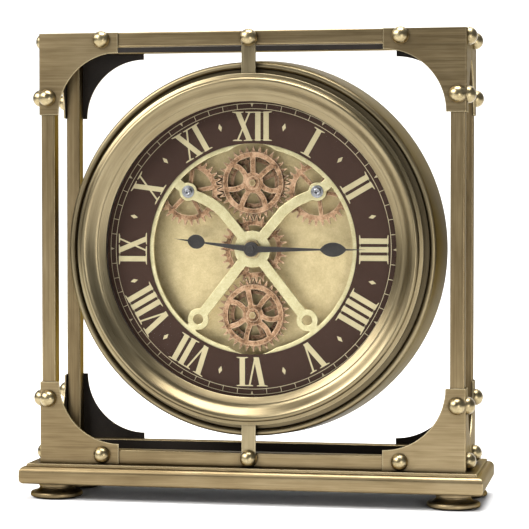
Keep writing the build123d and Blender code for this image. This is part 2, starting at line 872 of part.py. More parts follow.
def hand_face(plane, length):
    """Outline of a hand along the plane's x, with a round hub at its origin."""
    with BuildSketch(plane) as hand:
        with BuildLine():
            start = length * spade_start_share
            middle = length * spade_middle_share
            stop = length * spade_end_share
            Polyline((start, hand_waist / 2), (0, hand_root), (0, -hand_root), (start, -hand_waist / 2))
            ThreePointArc((start, -hand_waist / 2), (middle, -hand_spade), (stop, -hand_waist / 2))
            Polyline((stop, -hand_waist / 2), (length, 0), (stop, hand_waist / 2))
            ThreePointArc((stop, hand_waist / 2), (middle, hand_spade), (start, hand_waist / 2))
        make_face()
        Circle(hand_hub_radius)
    return hand.sketch


with BuildPart() as hour_hand:
    extrude(hand_face(facing(hour_back, turn=hour_angle), hour_length), amount=hand_thickness)
    with BuildSketch(facing(hour_front + hour_tube_length)):
        Circle(hour_tube_radius)
    extrude(amount=hour_tube_length)
    with BuildSketch(facing(hour_front + hour_tube_length)):
        Circle(arbor_radius + running_clearance)
    extrude(amount=hour_tube_length, mode=Mode.SUBTRACT)
finish(hour_hand, "hour_hand")

with BuildPart() as minute_hand:
    extrude(hand_face(facing(minute_back, turn=minute_angle), minute_length), amount=hand_thickness)
    with BuildSketch(facing(minute_front)):
        Circle(arbor_cap_radius)
    extrude(amount=arbor_cap_height)
    with BuildSketch(facing(minute_back + arbor_length)):
        Circle(arbor_radius)
    extrude(amount=arbor_length)
finish(minute_hand, "minute_hand")

# Movement with its threaded bush and cell bay, held by a nut on the front of the skeleton plate
bush_front = dial_back - bush_nut_height
bay_width = 2 * (cell_radius + cell_clearance)
bay_length = cell_length + cell_nipple_length + 2 * cell_clearance
cell_drop = movement_size / 2 - bay_from_edge - bay_width / 2
cell_depth = plate_back + bay_floor + cell_clearance + cell_radius
knob_place = (knob_offset, knob_offset)
with BuildPart() as movement_case:
    with BuildSketch(facing(module_back)):
        RectangleRounded(movement_size, movement_size, movement_edge_radius)
    extrude(amount=movement_depth)
    with BuildSketch(facing(plate_back)):
        Circle(bush_radius)
    extrude(amount=plate_back - bush_front)
    with BuildSketch(facing(minute_back + arbor_length + overrun)):
        Circle(hour_tube_radius + running_clearance)
    extrude(amount=minute_back + arbor_length + overrun - bush_front, mode=Mode.SUBTRACT)
    with BuildSketch(facing(module_back)):
        with Locations((0, -cell_drop)):
            Rectangle(bay_length, bay_width)
    extrude(amount=movement_depth - bay_floor, mode=Mode.SUBTRACT)
    with BuildSketch(facing(module_back, knob_place)):
        Circle(stud_radius + running_clearance)
    extrude(amount=knob_stem_length + overrun, mode=Mode.SUBTRACT)
finish(movement_case, "movement_case")

with BuildPart() as hand_nut:
    with BuildSketch(facing(dial_back)):
        RegularPolygon(bush_nut_radius, nut_sides)
        Circle(bush_radius, mode=Mode.SUBTRACT)
    extrude(amount=bush_nut_height)
finish(hand_nut, "hand_nut")

with BuildPart() as setting_knob:
    with BuildSketch(facing(module_back + wheel_gap + knob_height, knob_place)):
        RegularPolygon(knob_radius, knob_sides)
    extrude(amount=knob_height)
    with BuildSketch(facing(module_back + wheel_gap, knob_place)):
        Circle(stud_radius)
    extrude(amount=knob_stem_length + wheel_gap)
finish(setting_knob, "setting_knob")

# Gear motor beside the movement, with its shaft bore
with BuildPart() as gear_motor:
    with BuildSketch(facing(module_back, pinion_place)):
        RectangleRounded(motor_width, motor_height, motor_edge_radius)
    extrude(amount=movement_depth)
    with BuildSketch(facing(plate_back + pinion_depth + overrun, pinion_place)):
        Circle(stud_radius + running_clearance)
    extrude(amount=pinion_depth + overrun, mode=Mode.SUBTRACT)
finish(gear_motor, "gear_motor")

# Battery box of the gear motor, open to the back
with BuildPart() as battery_box:
    with BuildSketch(facing(module_back, (0, -box_drop))):
        RectangleRounded(box_width, box_height, motor_edge_radius)
    extrude(amount=movement_depth)
    with BuildSketch(facing(module_back, (0, -box_drop))):
        Rectangle(bay_length, bay_width)
    extrude(amount=movement_depth - bay_floor, mode=Mode.SUBTRACT)
finish(battery_box, "battery_box")

with BuildPart() as aa_cells:
    for drop in (cell_drop, box_drop):
        cell_point = (-bay_length / 2 + cell_clearance, cell_depth, centre_z - drop)
        cell_start = Plane(origin=cell_point, z_dir=(1, 0, 0))
        with BuildSketch(cell_start):
            Circle(cell_radius)
        extrude(amount=cell_length)
        with BuildSketch(cell_start.offset(cell_length)):
            Circle(cell_nipple_radius)
        extrude(amount=cell_nipple_length)
finish(aa_cells, "aa_cells")

# Rear cover with windows over the movement and the battery box
cover_radius = drum_rear_radius - cover_inset
cover_screw_circle = (flange_inner + cover_radius) / 2
cover_back = drum_rear + cover_thickness
with BuildPart() as rear_cover:
    with BuildSketch(facing(cover_back)):
        Circle(cover_radius)
        window = movement_size + 2 * cover_window_margin
        RectangleRounded(window, window, movement_edge_radius, mode=Mode.SUBTRACT)
        with Locations((0, -box_drop)):
            RectangleRounded(
                box_width + 2 * cover_window_margin,
                box_height + 2 * cover_window_margin,
                movement_edge_radius,
                mode=Mode.SUBTRACT,
            )
    extrude(amount=cover_thickness)
finish(rear_cover, "rear_cover")

with BuildPart() as cover_screws:
    with BuildSketch(facing(cover_back + cover_screw_height)):
        with PolarLocations(cover_screw_circle, cover_screw_count):
            Circle(cover_screw_radius)
    extrude(amount=cover_screw_height)
finish(cover_screws, "cover_screws")
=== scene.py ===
import json
from math import atan2, cos, hypot, pi, radians, sin

import bmesh
import bpy
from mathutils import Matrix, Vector


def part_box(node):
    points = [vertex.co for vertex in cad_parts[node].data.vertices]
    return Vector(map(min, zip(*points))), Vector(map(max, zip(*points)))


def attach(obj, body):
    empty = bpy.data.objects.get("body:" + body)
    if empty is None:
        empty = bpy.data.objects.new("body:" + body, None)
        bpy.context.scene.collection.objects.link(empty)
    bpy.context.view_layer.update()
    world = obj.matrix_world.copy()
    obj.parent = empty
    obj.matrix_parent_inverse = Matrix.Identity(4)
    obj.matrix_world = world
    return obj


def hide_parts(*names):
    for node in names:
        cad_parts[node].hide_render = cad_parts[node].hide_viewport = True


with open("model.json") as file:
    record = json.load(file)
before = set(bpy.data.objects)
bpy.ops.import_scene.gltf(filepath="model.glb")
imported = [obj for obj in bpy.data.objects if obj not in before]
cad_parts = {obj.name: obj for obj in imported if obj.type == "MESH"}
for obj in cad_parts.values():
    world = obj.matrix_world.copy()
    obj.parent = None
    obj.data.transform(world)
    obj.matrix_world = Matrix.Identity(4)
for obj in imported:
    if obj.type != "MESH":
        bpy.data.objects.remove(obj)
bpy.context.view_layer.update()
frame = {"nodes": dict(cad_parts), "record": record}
nodes = frame["nodes"]

# Lengths are in millimetres, in the part's frame: X right, Y back, Z up from the table.
# The materials, the lights and the camera are in metres.
MM = 0.001


def corners(node):
    """Lowest and highest corner of a node in millimetres, to a hundredth."""
    return [[round(value / MM, 2) for value in corner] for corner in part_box(node)]


# Places and sizes that the frame gives
post_low, post_high = corners("front_right_post")
TUBE = post_high[0] - post_low[0]
HALF_WIDTH = post_high[0]
HALF_DEPTH = -post_low[1]
FRAME_BOTTOM, FRAME_TOP = post_low[2], post_high[2]
CENTRE_Z = (FRAME_BOTTOM + FRAME_TOP) / 2
BRACKET_SIDE, BRACKET_FACE = corners("rear_top_right_bracket")[1][:2]
STRAP_FRONT = corners("top_strap")[0][1]
PADS_SIDE, PADS_BACK, PAD_TOP = corners("foot_pads")[1]
FOOT_TOP = corners("feet")[1][2]
DRUM_FRONT = corners("case_drum")[0][1]
DRUM_RADIUS, DRUM_BACK = corners("case_drum")[1][:2]
BEZEL_FRONT = corners("bezel")[0][1]
BEZEL_RADIUS = corners("bezel")[1][0]
GLASS_FRONT = corners("glass")[0][1]
GLASS_RADIUS, GLASS_BACK = corners("glass")[1][:2]
DIAL_FRONT = corners("dial_ring")[0][1]
DIAL_RADIUS, DIAL_BACK = corners("dial_ring")[1][:2]
SCREW_FRONT, ARM_FRONT = (corner[1] for corner in corners("arm_screws"))
joint_places = {
    joint["name"]: tuple(value / MM for value in joint["pos_m"])
    for joint in frame["record"]["behaviour"]["joints"]
}
dial_centre = (0, 0, CENTRE_Z)

# Fineness of the turned pieces, and the radius at which an outline starts beside its axis
TURNS = 192
ON_AXIS = 0.01

# Edges sharper than these angles, in degrees, stay sharp
FLAT_ANGLE = 32
TURNED_ANGLE = 60
PRINT_ANGLE = 30


# Node materials


class Nodes:
    """Node tree of a new material, with short calls to add and join nodes."""

    def __init__(self, name):
        self.material = bpy.data.materials.new(name)
        self.material.use_nodes = True
        self.tree = self.material.node_tree
        self.shader = self.tree.nodes["Principled BSDF"]

    def add(self, kind, **settings):
        made = self.tree.nodes.new(kind)
        for key, value in settings.items():
            setattr(made, key, value)
        return made

    def join(self, output, target):
        self.tree.links.new(output, target)

    def object_coordinates(self):
        return self.add("ShaderNodeTexCoord").outputs["Object"]

    def split(self, vector):
        made = self.add("ShaderNodeSeparateXYZ")
        self.join(vector, made.inputs[0])
        return made.outputs

    def math(self, operation, first, second=0.0):
        made = self.add("ShaderNodeMath", operation=operation)
        for socket, value in zip(made.inputs, (first, second)):
            if isinstance(value, (int, float)):
                socket.default_value = value
            else:
                self.join(value, socket)
        return made.outputs[0]

    def weighted(self, *parts):
        """Sum of values, each times its share."""
        products = [self.math("MULTIPLY", value, share) for value, share in parts]
        total = products[0]
        for product in products[1:]:
            total = self.math("ADD", total, product)
        return total

    def scaled(self, vector, scale):
        made = self.add("ShaderNodeMapping")
        made.inputs["Scale"].default_value = scale
        self.join(vector, made.inputs["Vector"])
        return made.outputs[0]

    def noise(self, vector, scale, detail=4.0, roughness=0.5):
        made = self.add("ShaderNodeTexNoise")
        made.inputs["Scale"].default_value = scale
        made.inputs["Detail"].default_value = detail
        made.inputs["Roughness"].default_value = roughness
        self.join(vector, made.inputs["Vector"])
        return made.outputs["Fac"]

    def ramp(self, factor, stops):
        made = self.add("ShaderNodeValToRGB")
        elements = made.color_ramp.elements
        while len(elements) < len(stops):
            elements.new(0.5)
        for element, (place, colour) in zip(elements, stops):
            element.position = place
            element.color = (*colour, 1.0)
        self.join(factor, made.inputs["Fac"])
        return made.outputs["Color"]

    def span(self, value, low, high, start=0.3, stop=0.7):
        made = self.add("ShaderNodeMapRange")
        for key, number in (("From Min", start), ("From Max", stop), ("To Min", low), ("To Max", high)):
            made.inputs[key].default_value = number
        self.join(value, made.inputs["Value"])
        return made.outputs["Result"]

    def mixed(self, factor, first, second):
        made = self.add("ShaderNodeMix", data_type="RGBA")
        for key, value in (("Factor", factor), ("A", first), ("B", second)):
            if isinstance(value, tuple):
                made.inputs[key].default_value = (*value, 1.0)
            else:
                self.join(value, made.inputs[key])
        return made.outputs["Result"]

    def occlusion(self, distance):
        made = self.add("ShaderNodeAmbientOcclusion", samples=8)
        made.inputs["Distance"].default_value = distance
        return made.outputs["AO"]

    def worn_and_highlit_edges(self, distance):
        """One on outer edges, falling to zero on flat faces: a mask for worn edges that also carry painted
        highlights.
        """
        made = self.add("ShaderNodeAmbientOcclusion", samples=6, inside=True, only_local=True)
        made.inputs["Distance"].default_value = distance
        return self.span(made.outputs["AO"], 1.0, 0.0, start=0.35, stop=0.9)

    def bump(self, height, strength, distance):
        made = self.add("ShaderNodeBump")
        made.inputs["Strength"].default_value = strength
        made.inputs["Distance"].default_value = distance
        self.join(height, made.inputs["Height"])
        self.join(made.outputs["Normal"], self.shader.inputs["Normal"])

    def set(self, **values):
        for key, value in values.items():
            self.shader.inputs[key.replace("_", " ")].default_value = value

    def colour(self, output):
        self.join(output, self.shader.inputs["Base Color"])

    def roughness(self, output):
        self.join(output, self.shader.inputs["Roughness"])


# How far the round grain's coordinate runs for each radian about the dial's axis, in metres
GRAIN_ALONG = 0.0016


def around_dial(made):
    """Coordinates that run along circles about the dial's axis: across, along and depth."""
    place = made.split(made.object_coordinates())
    height = made.math("SUBTRACT", place["Z"], CENTRE_Z * MM)
    squares = made.math("ADD", made.math("POWER", place["X"], 2.0), made.math("POWER", height, 2.0))
    radius = made.math("SQRT", squares)
    along = made.math("MULTIPLY", made.math("ARCTAN2", place["X"], height), GRAIN_ALONG)
    joined = made.add("ShaderNodeCombineXYZ")
    for value, socket in zip((radius, along, place["Y"]), joined.inputs):
        made.join(value, socket)
    return joined.outputs[0]


# Antique brass: dark, middle and light tones, and scales of its fine streaks and broad strokes
BRASS = ((0.125, 0.087, 0.042), (0.222, 0.165, 0.086), (0.320, 0.250, 0.142))
BEZEL_BRASS = ((0.146, 0.112, 0.060), (0.210, 0.168, 0.096), (0.282, 0.235, 0.142))
# Lighter copy of the brass for the straps: painted light against the shade they stand in
STRAP_BRASS_PAINTED_LIGHT = ((0.175, 0.135, 0.075), (0.290, 0.235, 0.136), (0.400, 0.335, 0.205))
# Colour of worn edges, partly a painted highlight where edges catch the light
BRASS_WEAR_AND_HIGHLIGHT = (0.74, 0.66, 0.43)
# Dark patina in the hollows, partly painted shade where parts come close
BRASS_PATINA_AND_SHADE = (0.050, 0.036, 0.020)
BRASS_RIM = (0.34, 0.305, 0.235, 1.0)
BRASS_STOPS = (0.34, 0.50, 0.66)
STREAKS = {
    "x": (10, 2200, 2200),
    "y": (2200, 10, 2200),
    "z": (2200, 2200, 10),
    "round": (2600, 2600, 2600),
}
STROKES = {
    "x": (45, 420, 420),
    "y": (420, 45, 420),
    "z": (420, 420, 45),
    "round": (420, 2900, 420),
}


def brushed_brass(name, grain, tone=BRASS, rough=(0.30, 0.42), recess=0.006, wear_and_highlight_reach=0.0009):
    """Antique brass: fine streaks along a grain, broad dark strokes, lighter edges that are worn and partly
    painted highlight, and dark patina with painted shade in recesses and between parts.
    """
    made = Nodes(name)
    base = around_dial(made) if grain == "round" else made.object_coordinates()
    streak = made.noise(made.scaled(base, STREAKS[grain]), scale=1.0, detail=3.0, roughness=0.6)
    broad = made.noise(made.scaled(base, STROKES[grain]), scale=1.0, detail=2.0, roughness=0.5)
    cloud = made.noise(made.object_coordinates(), scale=9.0, detail=4.0, roughness=0.55)
    blend = made.weighted((streak, 0.36), (broad, 0.20), (cloud, 0.44))
    metal = made.ramp(blend, tuple(zip(BRASS_STOPS, tone)))
    # Lighter edges: worn plating, partly a painted highlight
    bright = made.mixed(made.math("MULTIPLY", made.worn_and_highlit_edges(wear_and_highlight_reach), 0.85), metal, BRASS_WEAR_AND_HIGHLIGHT)
    # Darker near other surfaces: patina in hollows and painted shade between parts
    shade = made.span(made.occlusion(recess), 0.80, 0.0, start=0.25, stop=0.85)
    made.colour(made.mixed(shade, bright, BRASS_PATINA_AND_SHADE))
    made.roughness(made.span(streak, *rough))
    made.set(Metallic=1.0, Specular_Tint=BRASS_RIM)
    made.bump(streak, strength=0.06, distance=0.0001)
    return made.material


# Grime in the hollows, partly painted shade where parts come close
GRIME_AND_SHADE = (0.035, 0.022, 0.014)


def worn_metal(name, tone, edge_wear_and_highlight, rough, recess, wear_and_highlight_reach, pit_depth=0.00012, contrast=0.14):
    """Cast and plated metal with blotches, fine pits, lighter edges that are worn and partly painted
    highlight, and grime with painted shade in recesses and between parts.
    """
    made = Nodes(name)
    place = made.object_coordinates()
    blotch = made.noise(place, scale=160.0, detail=6.0, roughness=0.70)
    pits = made.noise(place, scale=900.0, detail=3.0, roughness=0.65)
    blend = made.weighted((blotch, 0.62), (pits, 0.38))
    metal = made.ramp(blend, tuple(zip((0.50 - contrast, 0.50, 0.50 + contrast), tone)))
    # Lighter edges: worn plating, partly a painted highlight
    bright = made.mixed(made.math("MULTIPLY", made.worn_and_highlit_edges(wear_and_highlight_reach), 0.8), metal, edge_wear_and_highlight)
    # Darker near other surfaces: grime and painted shade
    shade = made.span(made.occlusion(recess), 0.75, 0.0, start=0.2, stop=0.9)
    made.colour(made.mixed(shade, bright, GRIME_AND_SHADE))
    made.roughness(made.span(blotch, *rough))
    made.set(Metallic=1.0)
    made.bump(pits, strength=0.25, distance=pit_depth)
    return made.material


# How much coarser the clouds of a coat are than its grain
CLOUD_RATIO = 24


def coated(name, low, high, rough, scale, bump_depth, specular=0.5):
    """Paint, plastic or rubber with a fine grain."""
    made = Nodes(name)
    place = made.object_coordinates()
    grain = made.noise(place, scale, detail=3.0, roughness=0.6)
    cloud = made.noise(place, scale / CLOUD_RATIO, detail=4.0, roughness=0.5)
    blend = made.weighted((grain, 0.5), (cloud, 0.5))
    made.colour(made.ramp(blend, ((0.35, low), (0.65, high))))
    made.roughness(made.span(cloud, *rough))
    made.set(Specular_IOR_Level=specular)
    made.bump(grain, strength=0.3, distance=bump_depth)
    return made.material


def clear_glass():
    """Clear flat glass with the faintest unevenness and almost no reflection."""
    made = Nodes("clear_glass")
    wave = made.noise(made.object_coordinates(), scale=18.0, detail=2.0, roughness=0.4)
    made.colour(made.ramp(wave, ((0.3, (0.965, 0.975, 0.965)), (0.7, (0.985, 0.99, 0.985)))))
    made.set(Transmission_Weight=1.0, IOR=1.04, Roughness=0.0, Specular_IOR_Level=0.07)
    return made.material


# Where the copper end of a cell's jacket starts, across the clock
JACKET_SPLIT = 8.0


def cell_jacket():
    """Plain dark jacket of a dry cell with a copper end, split along its length."""
    made = Nodes("cell_jacket")
    place = made.object_coordinates()
    haze = made.noise(place, scale=300.0)
    dark = made.ramp(haze, ((0.3, (0.018, 0.018, 0.020)), (0.7, (0.034, 0.034, 0.037))))
    warm = made.ramp(haze, ((0.3, (0.40, 0.20, 0.09)), (0.7, (0.52, 0.28, 0.14))))
    end = made.math("GREATER_THAN", made.split(place)["X"], JACKET_SPLIT * MM)
    made.colour(made.mixed(end, dark, warm))
    made.roughness(made.span(haze, 0.22, 0.34))
    made.set(Metallic=0.55)
    return made.material


brass_x = brushed_brass("antique_brass_along_x", "x")
brass_y = brushed_brass("antique_brass_along_y", "y")
brass_z = brushed_brass("antique_brass_along_z", "z")
brass_bezel = brushed_brass("antique_brass_bezel", "round", BEZEL_BRASS, rough=(0.27, 0.37))
# The drum takes painted shade from surfaces up to 16 mm away
brass_drum = brushed_brass("antique_brass_drum", "round", BEZEL_BRASS, recess=0.016)
# The straps take the lighter copy, with painted light and less painted shade
brass_strap_painted_light = brushed_brass("antique_brass_strap_painted_light", "z", STRAP_BRASS_PAINTED_LIGHT, recess=0.002)
brass_foot = brushed_brass("antique_brass_foot", "x", rough=(0.34, 0.44))
brass_bolt = worn_metal(
    "antique_brass_bolt", ((0.215, 0.165, 0.087), (0.330, 0.265, 0.146), (0.440, 0.365, 0.215)),
    edge_wear_and_highlight=(0.56, 0.49, 0.31), rough=(0.26, 0.38), recess=0.004, wear_and_highlight_reach=0.0004, pit_depth=0.00004,
)
gold_nut = worn_metal(
    "worn_gold_nut", ((0.30, 0.210, 0.100), (0.42, 0.310, 0.160), (0.55, 0.430, 0.250)),
    edge_wear_and_highlight=(0.75, 0.63, 0.42), rough=(0.28, 0.40), recess=0.002, wear_and_highlight_reach=0.0008, pit_depth=0.00004,
)
copper = worn_metal(
    "worn_copper", ((0.105, 0.058, 0.032), (0.350, 0.202, 0.112), (0.54, 0.352, 0.222)),
    edge_wear_and_highlight=(0.78, 0.58, 0.39), rough=(0.38, 0.54), recess=0.008, wear_and_highlight_reach=0.0009, contrast=0.09,
)
champagne = worn_metal(
    "champagne_plate", ((0.56, 0.49, 0.26), (0.65, 0.58, 0.33), (0.72, 0.66, 0.41)),
    edge_wear_and_highlight=(0.80, 0.75, 0.50), rough=(0.34, 0.46), recess=0.003, wear_and_highlight_reach=0.0004, pit_depth=0.00003,
)
olive_plate = worn_metal(
    "olive_back_plate", ((0.52, 0.415, 0.220), (0.60, 0.490, 0.270), (0.68, 0.565, 0.325)),
    edge_wear_and_highlight=(0.72, 0.61, 0.36), rough=(0.44, 0.56), recess=0.007, wear_and_highlight_reach=0.0004, pit_depth=0.00003,
)
steel = worn_metal(
    "bright_steel", ((0.19, 0.19, 0.20), (0.29, 0.295, 0.31), (0.40, 0.41, 0.43)),
    edge_wear_and_highlight=(0.56, 0.57, 0.59), rough=(0.26, 0.40), recess=0.002, wear_and_highlight_reach=0.0003, pit_depth=0.00003,
)
ink_gold = worn_metal(
    "numeral_gold", ((0.38, 0.315, 0.175), (0.46, 0.39, 0.225), (0.53, 0.46, 0.28)),
    edge_wear_and_highlight=(0.57, 0.50, 0.31), rough=(0.40, 0.52), recess=0.001, wear_and_highlight_reach=0.0003, pit_depth=0.00002,
)
ink_dim = worn_metal(
    "track_gold", ((0.34, 0.28, 0.16), (0.42, 0.35, 0.21), (0.50, 0.43, 0.27)),
    edge_wear_and_highlight=(0.53, 0.46, 0.30), rough=(0.42, 0.54), recess=0.001, wear_and_highlight_reach=0.0003, pit_depth=0.00002,
)
dial_brown = coated(
    "dial_lacquer", (0.034, 0.0170, 0.0112), (0.039, 0.0200, 0.0134),
    rough=(0.52, 0.62), scale=260.0, bump_depth=0.000001, specular=0.14,
)
hand_black = coated(
    "hand_lacquer", (0.012, 0.010, 0.009), (0.024, 0.020, 0.017),
    rough=(0.30, 0.40), scale=1200.0, bump_depth=0.00001,
)
# Painted shade for the frame's inward faces
inside_painted_shade = coated(
    "frame_inside_painted_shade", (0.010, 0.0075, 0.006), (0.020, 0.015, 0.011),
    rough=(0.44, 0.60), scale=900.0, bump_depth=0.00003, specular=0.25,
)
dark_paint = coated(
    "cover_paint", (0.028, 0.023, 0.018), (0.046, 0.038, 0.031),
    rough=(0.48, 0.62), scale=1500.0, bump_depth=0.00004,
)
plastic = coated(
    "black_plastic", (0.011, 0.011, 0.011), (0.022, 0.022, 0.023),
    rough=(0.42, 0.58), scale=2200.0, bump_depth=0.00004,
)
rubber = coated(
    "pad_rubber", (0.010, 0.010, 0.010), (0.020, 0.020, 0.020),
    rough=(0.75, 0.90), scale=1800.0, bump_depth=0.00008, specular=0.3,
)
glass_clear = clear_glass()
cell_paint = cell_jacket()


# Mesh pieces


def link_piece(name, mesh, material, body, replaced):
    """Add a mesh as a piece that rides on a body and stands for its nodes."""
    piece = bpy.data.objects.new(name, mesh)
    bpy.context.scene.collection.objects.link(piece)
    mesh.materials.clear()
    mesh.materials.append(material)
    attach(piece, body)
    if replaced:
        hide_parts(*replaced)
    return piece


def smooth(mesh, angle):
    """Shade smooth, with sharp edges above an angle in degrees."""
    mesh.shade_smooth()
    mesh.set_sharp_from_angle(angle=radians(angle))


def mesh_from(name, vertices, faces, angle):
    """Mesh in metres from vertices in millimetres, with its normals turned outward."""
    mesh = bpy.data.meshes.new(name)
    mesh.from_pydata([Vector(v) * MM for v in vertices], [], faces)
    work = bmesh.new()
    work.from_mesh(mesh)
    bmesh.ops.remove_doubles(work, verts=work.verts, dist=1e-7)
    bmesh.ops.recalc_face_normals(work, faces=work.faces)
    work.to_mesh(mesh)
    work.free()
    smooth(mesh, angle)
    return mesh


def arc(start, middle, end, count=14):
    """Points on the circle through three points, from the first to the last."""
    (ax, ay), (bx, by), (cx, cy) = start, middle, end
    d = 2 * (ax * (by - cy) + bx * (cy - ay) + cx * (ay - by))
    a2, b2, c2 = ax * ax + ay * ay, bx * bx + by * by, cx * cx + cy * cy
    ux = (a2 * (by - cy) + b2 * (cy - ay) + c2 * (ay - by)) / d
    uy = (a2 * (cx - bx) + b2 * (ax - cx) + c2 * (bx - ax)) / d
    radius = hypot(ax - ux, ay - uy)
    first, mid, last = (atan2(y - uy, x - ux) for x, y in (start, middle, end))
    sweep = (last - first) % (2 * pi)
    if (mid - first) % (2 * pi) > sweep:
        sweep -= 2 * pi
    turns = [first + sweep * i / count for i in range(count + 1)]
    return [(ux + radius * cos(turn), uy + radius * sin(turn)) for turn in turns]


def ogee(start, end, count=24):
    """Points of an S-shaped rise that leaves the start and meets the end level."""
    (x0, y0), (x1, y1) = start, end
    shares = [i / count for i in range(count + 1)]
    return [(x0 + (x1 - x0) * t, y0 + (y1 - y0) * (3 * t**2 - 2 * t**3)) for t in shares]


def band(inner, outer, low, high):
    """Outline of a plain ring or disc between two radii and two levels."""
    return [(inner, low), (outer, low), (outer, high), (inner, high)]


# Corners that turn by less than this, in radians, stay as they are
FLAT_CORNER = 0.35
# A rounding takes at most this share of the edges beside it
ROUND_SHARE = 0.4
# Points nearer than this are one point
SAME_POINT = 1e-6


def rounded(points, radius, count=4):
    """Closed outline with each sharp corner rounded."""
    made = []
    for i, point in enumerate(points):
        before, after = Vector(points[i - 1]), Vector(points[(i + 1) % len(points)])
        here = Vector(point)
        to_before, to_after = before - here, after - here
        doubled = to_before.length < SAME_POINT or to_after.length < SAME_POINT
        if doubled or abs(to_before.angle(to_after) - pi) < FLAT_CORNER:
            made.append(tuple(here))
            continue
        start = here + to_before.normalized() * min(radius, to_before.length * ROUND_SHARE)
        stop = here + to_after.normalized() * min(radius, to_after.length * ROUND_SHARE)
        for step in range(count + 1):
            t = step / count
            made.append(tuple(start * (1 - t) ** 2 + here * 2 * t * (1 - t) + stop * t * t))
    return made


def lathe(outline, place, axis, turns=TURNS):
    """Vertices and faces of a closed outline of radius and height, turned about an axis through a place."""
    count = len(outline)
    vertices, faces = [], []
    for turn in range(turns):
        angle = 2 * pi * turn / turns
        for radius, along in outline:
            across, up = radius * cos(angle), radius * sin(angle)
            point = {"x": (along, across, up), "y": (across, along, up), "z": (across, up, along)}[axis]
            vertices.append(tuple(p + q for p, q in zip(place, point)))
    for turn in range(turns):
        following = (turn + 1) % turns
        for i in range(count):
            j = (i + 1) % count
            faces.append((turn * count + i, turn * count + j, following * count + j, following * count + i))
    return vertices, faces


def merged(groups):
    """One list of vertices and faces from several."""
    vertices, faces = [], []
    for more_vertices, more_faces in groups:
        base = len(vertices)
        vertices.extend(more_vertices)
        faces.extend(tuple(base + i for i in face) for face in more_faces)
    return vertices, faces


def turned(node, ending, outline, places, axis, material, corner, turns=TURNS):
    """Turned piece that stands for a node of the clock's body, once at each of its places."""
    name = node + ending
    soft = rounded(outline, corner)
    shapes = merged([lathe(soft, place, axis, turns) for place in places])
    return link_piece(name, mesh_from(name, *shapes, TURNED_ANGLE), material, "clock", (node,))


def dressed(node, material, width, segments=2, body="clock"):
    """Copy of a node's mesh with its flat faces joined and its edges rounded."""
    mesh = nodes[node].data.copy()
    mesh.name = node + "_dressed"
    work = bmesh.new()
    work.from_mesh(mesh)
    bmesh.ops.remove_doubles(work, verts=work.verts, dist=1e-6)
    bmesh.ops.dissolve_limit(work, angle_limit=radians(0.6), verts=work.verts, edges=work.edges)
    work.to_mesh(mesh)
    work.free()
    custom = mesh.attributes.get("custom_normal")
    if custom:
        mesh.attributes.remove(custom)
    smooth(mesh, FLAT_ANGLE)
    piece = link_piece(node + "_dressed", mesh, material, body, (node,))
    bevel = piece.modifiers.new("edges", "BEVEL")
    bevel.width = width * MM
    bevel.segments = segments
    bevel.limit_method = "ANGLE"
    bevel.angle_limit = radians(FLAT_ANGLE)
    bevel.harden_normals = True
    return piece


# A face is on a plane when it looks this squarely along the axis and lies this near to the level
SQUARE = 0.9
ON_PLANE = 0.2


def give_inside_shade(piece, *planes):
    """Give the faces on some planes, as axis, level and look, the painted shade of the frame's inside."""
    piece.data.materials.append(inside_painted_shade)
    for face in piece.data.polygons:
        for axis, level, look in planes:
            near = abs(face.center[axis] - level * MM) < ON_PLANE * MM
            if near and face.normal[axis] * look > SQUARE:
                face.material_index = 1


def regrain(piece, axis, least, material):
    """Give the faces that look along an axis a grain of their own."""
    piece.data.materials.append(material)
    place = len(piece.data.materials) - 1
    for face in piece.data.polygons:
        if abs(face.normal[axis]) > least and face.material_index == 0:
            face.material_index = place


# Frame of square tube, brackets, straps and plinth
BAR_INSIDE = HALF_DEPTH - TUBE
# The plinth's sloping moulding takes the grain of its sides too
PLINTH_SLOPE = 0.3
for face, y_sign in (("front", -1), ("rear", 1)):
    for side in ("left", "right"):
        dressed(f"{face}_{side}_post", brass_z, width=0.3)
    for end in ("bottom", "top"):
        bar = dressed(f"{face}_{end}_bar", brass_x, width=0.3)
        # Inward faces of bars and brackets take painted shade
        give_inside_shade(bar, (1, y_sign * BAR_INSIDE, -y_sign))
        for side, x_sign in (("left", -1), ("right", 1)):
            bracket = dressed(f"{face}_{end}_{side}_bracket", brass_x, width=0.25)
            give_inside_shade(bracket, (1, y_sign * HALF_DEPTH, -y_sign), (0, x_sign * HALF_WIDTH, -x_sign))
            regrain(bracket, 0, SQUARE, brass_z)
for side in ("left", "right"):
    for end in ("bottom", "top"):
        dressed(f"{side}_{end}_rail", brass_y, width=0.3)
for end in ("top", "bottom"):
    dressed(f"{end}_strap", brass_strap_painted_light, width=0.3)
plinth = dressed("base_plinth", brass_x, width=0.4)
regrain(plinth, 0, PLINTH_SLOPE, brass_y)
dressed("base_bottom_plate", dark_paint, width=0.2)

# Turned feet and their pads
PAD_RADIUS = 15.0
FOOT_RADIUS, FOOT_UNDERSIDE, FOOT_NECK, FOOT_COLLAR = 18.5, 17.4, 12.0, 12.5
foot_x, foot_y = PADS_SIDE - PAD_RADIUS, PADS_BACK - PAD_RADIUS
foot_places = [(x, y, 0) for x in (-foot_x, foot_x) for y in (-foot_y, foot_y)]
foot_outline = [
    (ON_AXIS, PAD_TOP), (FOOT_UNDERSIDE, PAD_TOP),
    *arc((FOOT_UNDERSIDE, PAD_TOP), (18.35, 1.6), (FOOT_RADIUS, 2.5), 6), (FOOT_RADIUS, 3.5), (17.8, 4.4),
    *arc((16.6, 4.7), (13.4, 5.6), (FOOT_NECK, 7.4), 12), (FOOT_NECK, 7.9),
    (FOOT_COLLAR, 8.2), (FOOT_COLLAR, FOOT_TOP), (ON_AXIS, FOOT_TOP),
]
turned("feet", "_turned", foot_outline, foot_places, "z", brass_foot, corner=0.25, turns=96)
